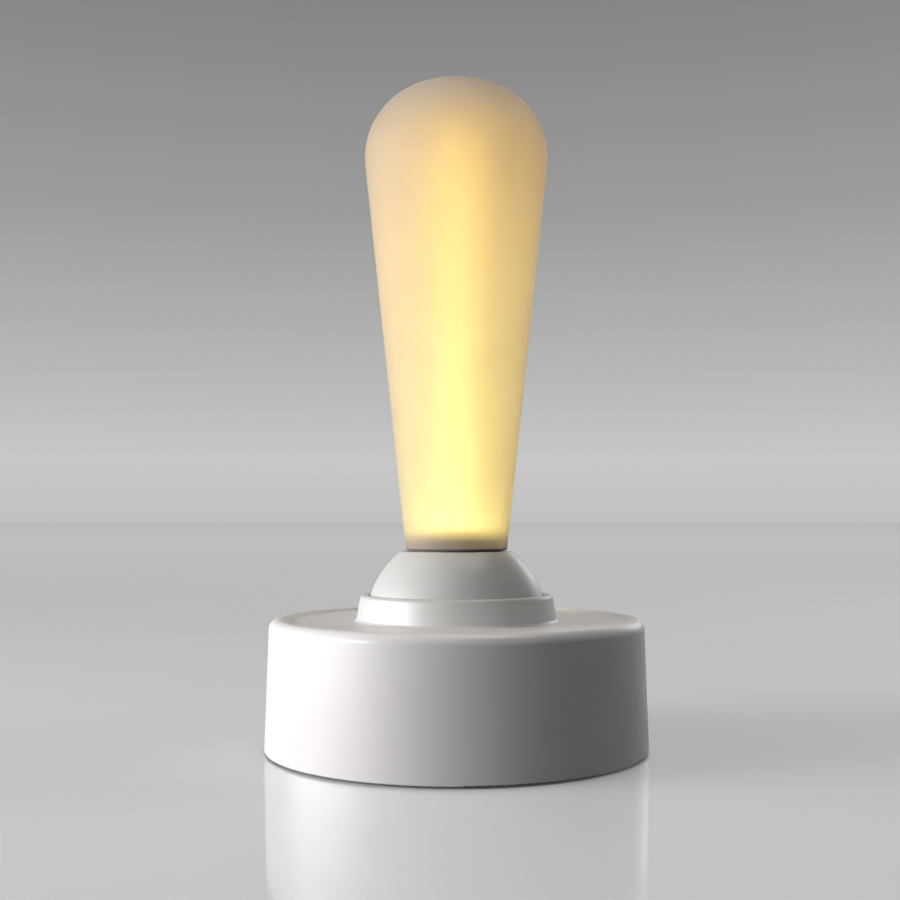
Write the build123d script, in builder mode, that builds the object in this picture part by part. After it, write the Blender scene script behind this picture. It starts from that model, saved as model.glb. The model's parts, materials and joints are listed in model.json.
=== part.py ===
"""A rocker night light: a glowing silicone club stands on a ball that rocks in a round base.

Millimetres, +Z up, origin on the table under the middle of the base. The club rocks left and right
about an axle along Y, and the charging inlet is at the back, towards +Y.
"""

import os
from math import acos, atan2, cos, hypot, pi, radians, sin, sqrt, tan

from build123d import *

os.makedirs("parts", exist_ok=True)

# Fits and cuts
CUT_OVERRUN = 1.0  # how far a cut runs past the face that it opens
SLIP_GAP = 0.1  # round pieces that drop into each other
RUN_GAP = 0.05  # round a screw in its hole and the axle in its uprights
PRESS_GAP = 0.01  # round the axle where it is pressed into the core
STRETCH_GAP = 0.02  # between the sleeve and the plug that it is stretched over
STANDING = (Align.CENTER, Align.CENTER, Align.MIN)  # a round solid that stands on its place

# Base housing
FOOT_R = 37.5
RIM_R = 36.8
WALL_T = 2.8
SEAT_WALL_T = 2.0  # wall left outside the cover's seat
TOP_PLATE_T = 2.0
DISH_DEPTH = 0.55
LIP_W = 2.4
LIP_SLOPE_W = 1.2
RIM_ROUND = 1.9
LIP_ROUND = 0.5
DISH_ROUND = 0.6
FOOT_ROUND = 0.3
COVER_POST_COUNT = 3
COVER_POST_START = 0.0  # degrees round from +X
COVER_POST_INSET = 3.2  # from the wall's narrower end to the middle of a post
COVER_POST_R = 2.8
COVER_RIB_T = 1.6
FRAME_POST_COUNT = 4
FRAME_POST_START = 45.0  # degrees round from +X
FRAME_POST_GAP = 0.9  # between the collar's lugs and a post
FRAME_POST_R = 2.8

# Collar ring round the ball
COLLAR_FOOT_WALL_T = 1.6  # outside the ball's seat
COLLAR_TOP_WALL_T = 0.8  # outside the ball's seat
COLLAR_H = 5.15
COLLAR_ROUND = 0.9
COLLAR_MOUTH_ROUND = 0.35
COLLAR_FLARE = 0.4
SPIGOT_WALL_T = 1.0
LUG_COUNT = 3
LUG_W = 5.0
LUG_H = 1.2
LUG_REACH = 0.5  # how far a lug hooks under the housing's top plate

# Ball
PIVOT_DROP = 0.95  # pivot below the housing's rim
BALL_R = 17.9
BALL_WALL_T = 1.8
BALL_GAP = 0.3  # all round between the ball and the collar
BALL_SKIRT = 3.2  # how far the ball goes on below the pivot
CROWN_LEDGE_W = 1.05  # flat crown left round the sleeve's foot
CROWN_T = 2.0
CROWN_ROUND = 0.3

# Silicone sleeve
SHADE_FOOT_R = 10.1
SHADE_FOOT_GAP = 0.2  # between the sleeve's foot and the ball's crown
SHADE_TOP_R = 18.5  # at its widest, round the shoulder
SHADE_SHOULDER_ROUND = 14.9
SHADE_CROWN_ROUND = 28.0
SHADE_L = 94.5
SHADE_WALL_T = 2.2
SHADE_FOOT_ROUND = 0.4

# Plug, LED board and light guide inside the sleeve
SOCKET_H = 3.0
LED_BOARD_T = 1.0
LED_BOARD_GAP = 0.4  # between the LED board and the sleeve
LED_L = 3.5
LED_W = 2.8
LED_H = 0.7
LED_COUNT = 6  # in the ring, besides the one under the guide
GUIDE_R = 3.0
GUIDE_L = 82.0
GUIDE_FLANGE_R = 4.2
GUIDE_FLANGE_T = 1.5
GUIDE_RECESS_GAP = 0.25  # round the LED under the guide

# Core that hangs under the ball's crown
FLANGE_R = 9.0
FLANGE_T = 2.0
COLUMN_L = 7.2
PEG_H = 1.5
PEG_GAP = 0.4  # between the end of a peg and the piece that it points at
PEG_CLEAR = 0.7  # left under the core's foot, so that it can rock
TAIL_T = 1.4
TAIL_W = 4.0
TAIL_TIP_R = 1.2
AXLE_R = 1.5

# Return springs on the axle
SPRING_R = 2.6
SPRING_WIRE_R = 0.3
SPRING_PITCH = 1.05
SPRING_HALF_TURN_COUNT = 5  # odd, so that the legs hang on both sides
SPRING_LEG_CLEAR = 0.25  # between the legs' ends and the frame's plate

# Pivot frame
FRAME_EDGE = 3.1  # from a post's middle to the frame's edge
FRAME_CLEAR = 1.2  # between the frame and the cover posts
FRAME_PLATE_T = 2.0
UPRIGHT_H = 8.7  # from the frame's plate to the pivot
UPRIGHT_W = 8.0
UPRIGHT_T = 2.8
UPRIGHT_CLEAR = 2.8  # between an upright and the ball's inside
FIXED_PEG_H = 1.2
OPENING_CLEAR = 0.5  # round the core and the leads
FRAME_HEADROOM = 0.8  # between the frame and the tallest piece on the board
STANDOFF_R = 2.3
STANDOFF_EDGE = 2.5  # from the board's edge to a standoff's middle
STANDOFF_SPACING = 16.0  # front to back

# Screws
SCREW_R = 1.0
SCREW_HEAD_R = 1.9
SCREW_HEAD_H = 1.2
SCREW_SLOT_W = 0.5
SCREW_SLOT_DEPTH = 0.5
LEVER_SCREW_INSET = 1.7  # from the plug's foot edge to a screw's middle
LEVER_SCREW_BITE = 2.3  # thread in the plug
FRAME_SCREW_BITE = 4.5  # thread in the housing's posts
BOARD_SCREW_BITE = 3.0  # thread in the frame's standoffs
COVER_SCREW_BITE = 6.0  # thread in the cover posts
COVER_SCREW_HEAD_H = 0.9
PILOT_CLEAR = 0.6  # hole left past a screw's tip

# Main board
BOARD_L = 42.0
BOARD_FRONT = 16.0
BOARD_BACK = 18.0
BOARD_T = 1.2
BOARD_ROUND = 2.0
BOARD_TAB_W = 15.0
BOARD_TAB_UNDER = 2.4  # how far the tab reaches under the inlet
CHIP_L = 5.0
CHIP_W = 4.0
CHIP_H = 1.5
COIL_W = 5.0
COIL_H = 2.6
COIL_ROUND = 0.8
CAPACITOR_L = 2.0
CAPACITOR_W = 1.25
CAPACITOR_H = 1.0
# Places on the board as shares of its half length and of its front or back depth
CHIP_SHARES = ((-0.35, 0.75), (0.4, 0.72))
COIL_SHARE = (0.0, -0.68)
CAPACITOR_SHARES = ((-0.45, -0.8), (0.45, -0.8), (0.05, 0.8), (0.7, 0.75), (-0.7, 0.75))

# Charging inlet
USB_W = 8.94
USB_H = 3.26
USB_L = 7.3
USB_SHELL_T = 0.3
USB_GAP = 0.25  # round the inlet in the housing's wall
USB_INSET = 1.2  # inlet's mouth behind the wall's outside
USB_BLOCK_L = 2.0
USB_TONGUE_W = 6.7
USB_TONGUE_T = 0.7
USB_TONGUE_L = 4.4

# Slide switch
SWITCH_L = 16.0
SWITCH_W = 6.8
SWITCH_H = 3.0
SWITCH_WALL_T = 1.2
SWITCH_FLOOR_T = 0.6
SWITCH_ROOF_T = 0.6
SLIDER_GAP = 0.2
SLIDER_NECK_W = 2.6
SLIDER_KNOB_L = 5.4
SLIDER_KNOB_W = 5.0
SLIDER_FOOT_L = 7.6
FORK_GAP = 0.15  # each side of the tail's tip
TIP_CLEAR = 0.3  # above and below the tail's tip

# Battery, leads and ballast
BATTERY_END_GAP = 14.0  # from the housing's wall, at its narrower end, to the battery's ends
BATTERY_SIDE_GAP = 19.0  # from there to its long sides
BATTERY_T = 4.5
BATTERY_ROUND = 1.5
BATTERY_HEADROOM = 0.3  # to the heads of the board's screws
BATTERY_CLEAR = 1.0  # round it in the ballast
TAPE_T = 0.3
TAPE_INSET = 3.0
CONNECTOR_L = 5.6
CONNECTOR_W = 6.0
CONNECTOR_H = 2.8
CONNECTOR_EDGE = 1.0  # from the board's edge
LEAD_R = 0.5
LEAD_GAP = 0.2  # round a lead in its hole
LEAD_SPACING = 2.5
LEAD_BEND_R = 1.8
BATTERY_LEAD_REACH = 3.0  # how far the leads go out past the board
LED_LEAD_INSET = 1.7  # from the plug's foot edge to a lead's middle
LED_LEAD_TURN = 36.0  # degrees round from +X, both ways
LED_LEAD_DROP_X = 12.5  # where the leads come down on the board
LED_LEAD_KNEE = 7.0  # lower knee above the board
LED_LEAD_BEND_R = 5.0
BALLAST_H = 5.0
BALLAST_GAP = 0.6  # to the housing's wall at its narrower end
BALLAST_POST_GAP = 0.3  # round the cover posts

# Bottom cover and foot
COVER_T = 2.4
FOOT_RING_W = 6.4
FOOT_RING_T = 1.2
FOOT_PROUD = 0.3  # foot below the housing's lower edge

# Heights, from the table up
cover_top_z = FOOT_PROUD + COVER_T
battery_z = cover_top_z + TAPE_T
board_z = battery_z + BATTERY_T + BATTERY_HEADROOM + SCREW_HEAD_H
board_top_z = board_z + BOARD_T
standoff_h = max(CHIP_H, COIL_H, CAPACITOR_H, CONNECTOR_H) + FRAME_HEADROOM
frame_z = board_top_z + standoff_h
frame_top_z = frame_z + FRAME_PLATE_T
pivot_z = frame_top_z + UPRIGHT_H
rim_z = pivot_z + PIVOT_DROP
dish_z = rim_z - DISH_DEPTH
plate_under_z = dish_z - TOP_PLATE_T
collar_top_z = dish_z + COLLAR_H
crown_rise = sqrt(BALL_R**2 - (SHADE_FOOT_R + CROWN_LEDGE_W) ** 2)  # flat crown above the pivot
crown_z = pivot_z + crown_rise
crown_under_z = crown_z - CROWN_T
flange_z = crown_under_z - FLANGE_T
shade_foot_z = crown_z + SHADE_FOOT_GAP
shade_top_z = shade_foot_z + SHADE_L
socket_top_z = shade_foot_z + SOCKET_H
led_board_top_z = socket_top_z + LED_BOARD_T
usb_z = board_top_z + USB_H / 2
knob_z = board_top_z + SWITCH_H + SLIDER_GAP
tip_z = knob_z + TIP_CLEAR + TAIL_TIP_R
knob_top_z = tip_z + TAIL_TIP_R + TIP_CLEAR
core_foot_z = max(frame_top_z + FIXED_PEG_H, knob_top_z) + PEG_CLEAR
tail_r = pivot_z - tip_z  # lever arm from the pivot to the tail's tip


def wall_r(height):
    """Outer radius of the housing's sloping wall at a height."""
    return FOOT_R + (RIM_R - FOOT_R) * (height - FOOT_PROUD) / (rim_z - FOOT_PROUD)


def ball_point(radius, rise):
    """Point in the XZ section, on a circle about the pivot, that lies rise above the pivot."""
    return (sqrt(radius**2 - rise**2), pivot_z + rise)


def board_place(share):
    """Place on the board for a share of its half length and of its front or back depth."""
    depth = BOARD_BACK if share[1] > 0 else BOARD_FRONT
    return (share[0] * BOARD_L / 2, share[1] * depth)


# Plan sizes
seat_r = FOOT_R - SEAT_WALL_T
inner_foot_r = FOOT_R - WALL_T
inner_top_r = RIM_R - WALL_T
inner_min_r = min(inner_foot_r, inner_top_r)
shell_out_r = max(FOOT_R, RIM_R)
lip_r = RIM_R - LIP_W
dish_r = lip_r - LIP_SLOPE_W
ball_seat_r = BALL_R + BALL_GAP
ball_in_r = BALL_R - BALL_WALL_T
collar_foot_r = ball_seat_r + COLLAR_FOOT_WALL_T
collar_top_r = ball_seat_r + COLLAR_TOP_WALL_T
spigot_r = ball_seat_r + SPIGOT_WALL_T
opening_r = spigot_r + SLIP_GAP
cover_post_circle_r = inner_min_r - COVER_POST_INSET
battery_l = 2 * (inner_min_r - BATTERY_END_GAP)
battery_w = 2 * (inner_min_r - BATTERY_SIDE_GAP)
frame_post_circle_r = spigot_r + SLIP_GAP + LUG_REACH + FRAME_POST_GAP + FRAME_POST_R
frame_r = frame_post_circle_r + FRAME_EDGE
usb_mouth_y = wall_r(usb_z) - USB_INSET
usb_back_y = usb_mouth_y - USB_L
pilot_r = SCREW_R + RUN_GAP

# The sleeve's side is a straight line from its foot, then a shoulder arc, then a flatter crown arc, and
# each runs into the next at a tangent. Angles in the XZ section are measured from +X.
crown_arc_z = shade_top_z - SHADE_CROWN_ROUND
shoulder_arc_x = SHADE_TOP_R - SHADE_SHOULDER_ROUND
shoulder_rise = sqrt((SHADE_CROWN_ROUND - SHADE_SHOULDER_ROUND) ** 2 - shoulder_arc_x**2)
shoulder_arc_z = crown_arc_z + shoulder_rise
shoulder_end = atan2(shoulder_rise, shoulder_arc_x)
shade_drop = shoulder_arc_z - shade_foot_z
shade_foot_reach = SHADE_FOOT_R - shoulder_arc_x
shade_slope = atan2(-shade_drop, shade_foot_reach) + acos(
    SHADE_SHOULDER_ROUND / hypot(shade_drop, shade_foot_reach)
)
shade_in_foot_r = SHADE_FOOT_R - SHADE_WALL_T / cos(shade_slope)


def shade_in_r(height):
    """Inner radius of the sleeve's straight side at a height."""
    return shade_in_foot_r - (height - shade_foot_z) * tan(shade_slope)


def shoulder_point(inset, angle):
    """Point in the XZ section on the sleeve's shoulder arc, an inset inside its outer face."""
    radius = SHADE_SHOULDER_ROUND - inset
    return (shoulder_arc_x + radius * cos(angle), shoulder_arc_z + radius * sin(angle))


def crown_point(inset, angle):
    """Point in the XZ section on the sleeve's crown arc, an inset inside its outer face."""
    radius = SHADE_CROWN_ROUND - inset
    return (radius * cos(angle), crown_arc_z + radius * sin(angle))


# Springs sit between the core and the uprights
spring_coil_l = SPRING_HALF_TURN_COUNT * SPRING_PITCH / 2
spring_leg_l = UPRIGHT_H - SPRING_LEG_CLEAR
spring_lean = spring_leg_l * SPRING_PITCH / (2 * pi * SPRING_R)
spring_space = spring_coil_l + 2 * (spring_lean + SPRING_WIRE_R + SLIP_GAP)
peg_l = 2 * (SPRING_R - SPRING_WIRE_R - SLIP_GAP)
upright_y = ball_in_r - UPRIGHT_CLEAR - UPRIGHT_T
core_y = upright_y - spring_space
core_w = 2 * core_y
axle_l = 2 * (upright_y + UPRIGHT_T)

# Places of screws and leads
cover_places = PolarLocations(cover_post_circle_r, COVER_POST_COUNT, COVER_POST_START)
frame_places = PolarLocations(frame_post_circle_r, FRAME_POST_COUNT, FRAME_POST_START)
standoff_places = GridLocations(BOARD_L - 2 * STANDOFF_EDGE, STANDOFF_SPACING, 2, 2)
lever_places = GridLocations(2 * (shade_in_foot_r - LEVER_SCREW_INSET), 0, 2, 1)
led_lead_x = (shade_in_foot_r - LED_LEAD_INSET) * cos(radians(LED_LEAD_TURN))
led_lead_y = (shade_in_foot_r - LED_LEAD_INSET) * sin(radians(LED_LEAD_TURN))
lead_places = ((led_lead_x, led_lead_y), (led_lead_x, -led_lead_y))


def pan_screws(places, seat_z, length):
    """Pan-head screws driven upwards, each head under seat_z and each shank above it."""
    with BuildPart() as screws:
        with BuildSketch(Plane.XY.offset(seat_z)):
            with places:
                Circle(SCREW_HEAD_R)
        extrude(amount=-SCREW_HEAD_H)
        with BuildSketch(Plane.XY.offset(seat_z)):
            with places:
                Circle(SCREW_R)
        extrude(amount=length)
        with BuildSketch(Plane.XY.offset(seat_z - SCREW_HEAD_H)):
            with places:
                Rectangle(2 * SCREW_R, SCREW_SLOT_W)
                Rectangle(SCREW_SLOT_W, 2 * SCREW_R)
        extrude(amount=SCREW_SLOT_DEPTH, mode=Mode.SUBTRACT)
    return screws.part


def lead_tube(points, bend_r):
    """A round insulated lead along straight runs joined by arcs."""
    with BuildPart() as lead:
        with BuildLine():
            route = FilletPolyline(*points, radius=bend_r)
        with BuildSketch(Plane(origin=route @ 0, z_dir=route % 0)):
            Circle(LEAD_R)
        sweep(path=route)
    return lead.part


def arc_joint(start, start_way, end, end_way):
    """Where two arcs meet that leave start and reach end along given ways, and the way they share."""
    span = end - start
    square = 2 * (start_way.dot(end_way) - 1)
    middle = -2 * span.dot(start_way + end_way)
    reach = (-middle - sqrt(middle**2 - 4 * square * span.dot(span))) / (2 * square)
    near = start + start_way * reach
    far = end - end_way * reach
    return (near + far) * 0.5, (far - near).normalized()


def return_spring(side):
    """A coil round the axle with two legs that hang down beside the pegs, in front (-1) or behind (1)."""
    first_y = core_y + SLIP_GAP + SPRING_WIRE_R + spring_lean
    quarters = 2 * SPRING_HALF_TURN_COUNT
    points = []
    ways = []
    for step in range(quarters + 1):
        angle = step * pi / 2
        along = side * (first_y + SPRING_PITCH * angle / (2 * pi))
        points.append(Vector(-SPRING_R * cos(angle), along, pivot_z + SPRING_R * sin(angle)))
        way = Vector(SPRING_R * sin(angle), side * SPRING_PITCH / (2 * pi), SPRING_R * cos(angle))
        ways.append(way.normalized())
    leg_run = spring_leg_l / ways[0].Z
    leg_foot = points[0] - ways[0] * leg_run
    with BuildPart() as spring:
        with BuildLine() as wire:
            Line(leg_foot, points[0])
            for step in range(quarters):
                joint, joint_way = arc_joint(points[step], ways[step], points[step + 1], ways[step + 1])
                TangentArc(points[step], joint, tangent=ways[step])
                TangentArc(joint, points[step + 1], tangent=joint_way)
            Line(points[-1], points[-1] + ways[-1] * leg_run)
        with BuildSketch(Plane(origin=leg_foot, z_dir=ways[0])):
            Circle(SPRING_WIRE_R)
        sweep(path=wire.wires()[0])
    return spring.part


# Base housing: wall, lip, dish, posts and the inlet's slot
with BuildPart() as base_shell:
    with BuildSketch(Plane.XZ) as wall_section:
        with BuildLine():
            Polyline(
                (opening_r, dish_z),
                (dish_r, dish_z),
                (lip_r, rim_z),
                (RIM_R, rim_z),
                (FOOT_R, FOOT_PROUD),
                (seat_r, FOOT_PROUD),
                (seat_r, cover_top_z),
                (inner_foot_r, cover_top_z),
                (inner_top_r, plate_under_z),
                (opening_r, plate_under_z),
                close=True,
            )
        make_face()
        fillet(wall_section.vertices().sort_by_distance((RIM_R, rim_z))[0], RIM_ROUND)
        fillet(wall_section.vertices().sort_by_distance((lip_r, rim_z))[0], LIP_ROUND)
        fillet(wall_section.vertices().sort_by_distance((dish_r, dish_z))[0], DISH_ROUND)
        fillet(wall_section.vertices().sort_by_distance((FOOT_R, FOOT_PROUD))[0], FOOT_ROUND)
    revolve(axis=Axis.Z)
    rib_l = COVER_POST_INSET + WALL_T / 2
    with BuildSketch(Plane.XY.offset(cover_top_z)):
        with cover_places:
            Circle(COVER_POST_R)
            Rectangle(rib_l, COVER_RIB_T, align=(Align.MIN, Align.CENTER))
    extrude(amount=plate_under_z - cover_top_z)
    with BuildSketch(Plane.XY.offset(frame_top_z)):
        with frame_places:
            Circle(FRAME_POST_R)
    extrude(amount=plate_under_z - frame_top_z)
    with BuildSketch(Plane.XY.offset(cover_top_z)):
        with cover_places:
            Circle(pilot_r)
    extrude(amount=COVER_SCREW_BITE + PILOT_CLEAR, mode=Mode.SUBTRACT)
    with BuildSketch(Plane.XY.offset(frame_top_z)):
        with frame_places:
            Circle(pilot_r)
    extrude(amount=FRAME_SCREW_BITE + PILOT_CLEAR, mode=Mode.SUBTRACT)
    with BuildSketch(Plane.XZ.offset(-shell_out_r - CUT_OVERRUN)):
        with Locations((0, usb_z)):
            SlotOverall(USB_W + 2 * USB_GAP, USB_H + 2 * USB_GAP)
    extrude(amount=shell_out_r + CUT_OVERRUN - usb_back_y, mode=Mode.SUBTRACT)
base_shell.part.label = "base_shell"
export_step(base_shell.part, "parts/base_shell.step")

# Collar ring: follows the ball inside, and hooks into the housing's opening with a spigot and lugs
with BuildPart() as collar_ring:
    mouth_rise = collar_top_z - pivot_z
    spigot_foot_z = plate_under_z - SLIP_GAP - LUG_H
    with BuildSketch(Plane.XZ) as collar_section:
        with BuildLine():
            Polyline(
                ball_point(ball_seat_r, mouth_rise),
                (collar_top_r, collar_top_z),
                (collar_foot_r, dish_z + COLLAR_FLARE),
                (collar_foot_r + COLLAR_FLARE, dish_z),
                (spigot_r, dish_z),
                (spigot_r, spigot_foot_z),
                (ball_seat_r, spigot_foot_z),
                (ball_seat_r, pivot_z),
            )
            ThreePointArc(
                ball_point(ball_seat_r, 0),
                ball_point(ball_seat_r, mouth_rise / 2),
                ball_point(ball_seat_r, mouth_rise),
            )
        make_face()
        fillet(collar_section.vertices().sort_by_distance((collar_top_r, collar_top_z))[0], COLLAR_ROUND)
        mouth = collar_section.vertices().sort_by_distance(ball_point(ball_seat_r, mouth_rise))[0]
        fillet(mouth, COLLAR_MOUTH_ROUND)
    revolve(axis=Axis.Z)
    with BuildSketch(Plane.XY.offset(spigot_foot_z)):
        with PolarLocations(spigot_r - SPIGOT_WALL_T / 2, LUG_COUNT):
            Rectangle(
                SPIGOT_WALL_T / 2 + SLIP_GAP + LUG_REACH, LUG_W, align=(Align.MIN, Align.CENTER)
            )
    extrude(amount=LUG_H)
collar_ring.part.label = "collar_ring"
export_step(collar_ring.part, "parts/collar_ring.step")

# Pivot frame: plate with the core's opening, two uprights with pegs, and standoffs for the board
with BuildPart() as pivot_frame:
    opening_l = 2 * (LED_LEAD_DROP_X + LEAD_R + OPENING_CLEAR)
    opening_w = 2 * (max(core_y, led_lead_y + LEAD_R) + OPENING_CLEAR)
    with BuildSketch(Plane.XY.offset(frame_z)):
        Circle(frame_r)
        Rectangle(opening_l, opening_w, mode=Mode.SUBTRACT)
        with cover_places:
            Circle(COVER_POST_R + FRAME_CLEAR, mode=Mode.SUBTRACT)
        with frame_places:
            Circle(pilot_r, mode=Mode.SUBTRACT)
    extrude(amount=FRAME_PLATE_T)
    for back_y in (upright_y + UPRIGHT_T, -upright_y):
        with BuildSketch(Plane.XZ.offset(-back_y)):
            with Locations((0, frame_top_z)):
                Rectangle(UPRIGHT_W, UPRIGHT_H, align=(Align.CENTER, Align.MIN))
            with Locations((0, pivot_z)):
                Circle(UPRIGHT_W / 2)
                Circle(AXLE_R + RUN_GAP, mode=Mode.SUBTRACT)
        extrude(amount=UPRIGHT_T)
    fixed_peg_w = spring_space - PEG_GAP
    with BuildSketch(Plane.XY.offset(frame_top_z)):
        with Locations((0, upright_y)):
            Rectangle(peg_l, fixed_peg_w, align=(Align.CENTER, Align.MAX))
        with Locations((0, -upright_y)):
            Rectangle(peg_l, fixed_peg_w, align=(Align.CENTER, Align.MIN))
    extrude(amount=FIXED_PEG_H)
    with BuildSketch(Plane.XY.offset(board_top_z)):
        with standoff_places:
            Circle(STANDOFF_R)
    extrude(amount=standoff_h)
    with BuildSketch(Plane.XY.offset(board_top_z)):
        with standoff_places:
            Circle(pilot_r)
    extrude(amount=BOARD_SCREW_BITE + PILOT_CLEAR, mode=Mode.SUBTRACT)
pivot_frame.part.label = "pivot_frame"
export_step(pivot_frame.part, "parts/pivot_frame.step")

frame_screws = pan_screws(frame_places, frame_z, FRAME_PLATE_T + FRAME_SCREW_BITE)
frame_screws.label = "frame_screws"
export_step(frame_screws, "parts/frame_screws.step")

# Main board with a tab that carries the inlet
with BuildPart() as main_board:
    with BuildSketch(Plane.XY.offset(board_z)) as board_plan:
        with Locations((0, -BOARD_FRONT)):
            Rectangle(BOARD_L, BOARD_FRONT + BOARD_BACK, align=(Align.CENTER, Align.MIN))
        with Locations((0, usb_back_y + BOARD_TAB_UNDER)):
            Rectangle(BOARD_TAB_W, usb_back_y + BOARD_TAB_UNDER, align=(Align.CENTER, Align.MAX))
        fillet(board_plan.vertices(), BOARD_ROUND)
        with standoff_places:
            Circle(pilot_r, mode=Mode.SUBTRACT)
    extrude(amount=BOARD_T)
main_board.part.label = "main_board"
export_step(main_board.part, "parts/main_board.step")

board_screws = pan_screws(standoff_places, board_z, BOARD_T + BOARD_SCREW_BITE)
board_screws.label = "board_screws"
export_step(board_screws, "parts/board_screws.step")

# Charger and driver chips
with BuildPart() as board_chips:
    with BuildSketch(Plane.XY.offset(board_top_z)):
        with Locations(*[board_place(share) for share in CHIP_SHARES]):
            Rectangle(CHIP_L, CHIP_W)
    extrude(amount=CHIP_H)
board_chips.part.label = "board_chips"
export_step(board_chips.part, "parts/board_chips.step")

# Power coil
with BuildPart() as board_coil:
    with BuildSketch(Plane.XY.offset(board_top_z)):
        with Locations(board_place(COIL_SHARE)):
            RectangleRounded(COIL_W, COIL_W, COIL_ROUND)
    extrude(amount=COIL_H)
board_coil.part.label = "board_coil"
export_step(board_coil.part, "parts/board_coil.step")

# Small capacitors
with BuildPart() as board_capacitors:
    with BuildSketch(Plane.XY.offset(board_top_z)):
        with Locations(*[board_place(share) for share in CAPACITOR_SHARES]):
            Rectangle(CAPACITOR_L, CAPACITOR_W)
    extrude(amount=CAPACITOR_H)
board_capacitors.part.label = "board_capacitors"
export_step(board_capacitors.part, "parts/board_capacitors.step")

# Inlet shell: an oval tube, open at the wall
with BuildPart() as usb_socket:
    with BuildSketch(Plane.XZ.offset(-usb_mouth_y)):
        with Locations((0, usb_z)):
            SlotOverall(USB_W, USB_H)
            SlotOverall(USB_W - 2 * USB_SHELL_T, USB_H - 2 * USB_SHELL_T, mode=Mode.SUBTRACT)
    extrude(amount=USB_L)
usb_socket.part.label = "usb_socket"
export_step(usb_socket.part, "parts/usb_socket.step")

# Inlet block that closes the shell's back, with the contact tongue
with BuildPart() as usb_tongue:
    with BuildSketch(Plane.XZ.offset(-usb_back_y)):
        with Locations((0, usb_z)):
            SlotOverall(USB_W - 2 * USB_SHELL_T, USB_H - 2 * USB_SHELL_T)
    extrude(amount=-USB_BLOCK_L)
    with BuildSketch(Plane.XZ.offset(-usb_back_y - USB_BLOCK_L)):
        with Locations((0, usb_z)):
            Rectangle(USB_TONGUE_W, USB_TONGUE_T)
    extrude(amount=-USB_TONGUE_L)
usb_tongue.part.label = "usb_tongue"
export_step(usb_tongue.part, "parts/usb_tongue.step")

# Slide switch housing: a box with a chamber for the slider's foot and a slot for its neck
chamber_z = board_top_z + SWITCH_FLOOR_T
chamber_h = SWITCH_H - SWITCH_FLOOR_T - SWITCH_ROOF_T
chamber_l = SWITCH_L - 2 * SWITCH_WALL_T
chamber_w = SWITCH_W - 2 * SWITCH_WALL_T
neck_slot_l = SLIDER_KNOB_L + chamber_l - SLIDER_FOOT_L
with BuildPart() as switch_body:
    with BuildSketch(Plane.XY.offset(board_top_z)):
        Rectangle(SWITCH_L, SWITCH_W)
    extrude(amount=SWITCH_H)
    with BuildSketch(Plane.XY.offset(chamber_z)):
        Rectangle(chamber_l, chamber_w)
    extrude(amount=chamber_h, mode=Mode.SUBTRACT)
    with BuildSketch(Plane.XY.offset(chamber_z)):
        Rectangle(neck_slot_l, SLIDER_NECK_W + 2 * SLIDER_GAP)
    extrude(amount=SWITCH_H, mode=Mode.SUBTRACT)
switch_body.part.label = "switch_body"
export_step(switch_body.part, "parts/switch_body.step")

# Slider: foot in the chamber, neck through the slot, forked knob round the tail's tip
with BuildPart() as switch_slider:
    foot_h = chamber_h - 2 * SLIDER_GAP
    foot_top_z = chamber_z + SLIDER_GAP + foot_h
    fork_w = 2 * (TAIL_TIP_R + FORK_GAP)
    with BuildSketch(Plane.XY.offset(chamber_z + SLIDER_GAP)):
        Rectangle(SLIDER_FOOT_L, chamber_w - 2 * SLIDER_GAP)
    extrude(amount=foot_h)
    with BuildSketch(Plane.XY.offset(foot_top_z)):
        Rectangle(SLIDER_KNOB_L, SLIDER_NECK_W)
    extrude(amount=knob_z - foot_top_z)
    with BuildSketch(Plane.XY.offset(knob_z)):
        Rectangle(SLIDER_KNOB_L, SLIDER_KNOB_W)
        Rectangle(fork_w, SLIDER_KNOB_W, mode=Mode.SUBTRACT)
    extrude(amount=knob_top_z - knob_z)
switch_slider.part.label = "switch_slider"
export_step(switch_slider.part, "parts/switch_slider.step")

# Ball: a shell with a flat crown, open below the pivot
with BuildPart() as ball_dome:
    crown_in_rise = crown_rise - CROWN_T
    crown_edge = ball_point(BALL_R, crown_rise)
    with BuildSketch(Plane.XZ) as ball_section:
        with BuildLine():
            ThreePointArc(
                ball_point(BALL_R, -BALL_SKIRT),
                ball_point(BALL_R, (crown_rise - BALL_SKIRT) / 2),
                crown_edge,
            )
            Polyline(crown_edge, (0, crown_z), (0, crown_under_z), ball_point(ball_in_r, crown_in_rise))
            ThreePointArc(
                ball_point(ball_in_r, crown_in_rise),
                ball_point(ball_in_r, (crown_in_rise - BALL_SKIRT) / 2),
                ball_point(ball_in_r, -BALL_SKIRT),
            )
            Line(ball_point(ball_in_r, -BALL_SKIRT), ball_point(BALL_R, -BALL_SKIRT))
        make_face()
        fillet(ball_section.vertices().sort_by_distance(crown_edge)[0], CROWN_ROUND)
    revolve(axis=Axis.Z)
    with BuildSketch(Plane.XY.offset(crown_under_z)):
        with lever_places:
            Circle(pilot_r)
        with Locations(*lead_places):
            Circle(LEAD_R + LEAD_GAP)
    extrude(amount=CROWN_T, mode=Mode.SUBTRACT)
ball_dome.part.label = "ball_dome"
export_step(ball_dome.part, "parts/ball_dome.step")

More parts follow.
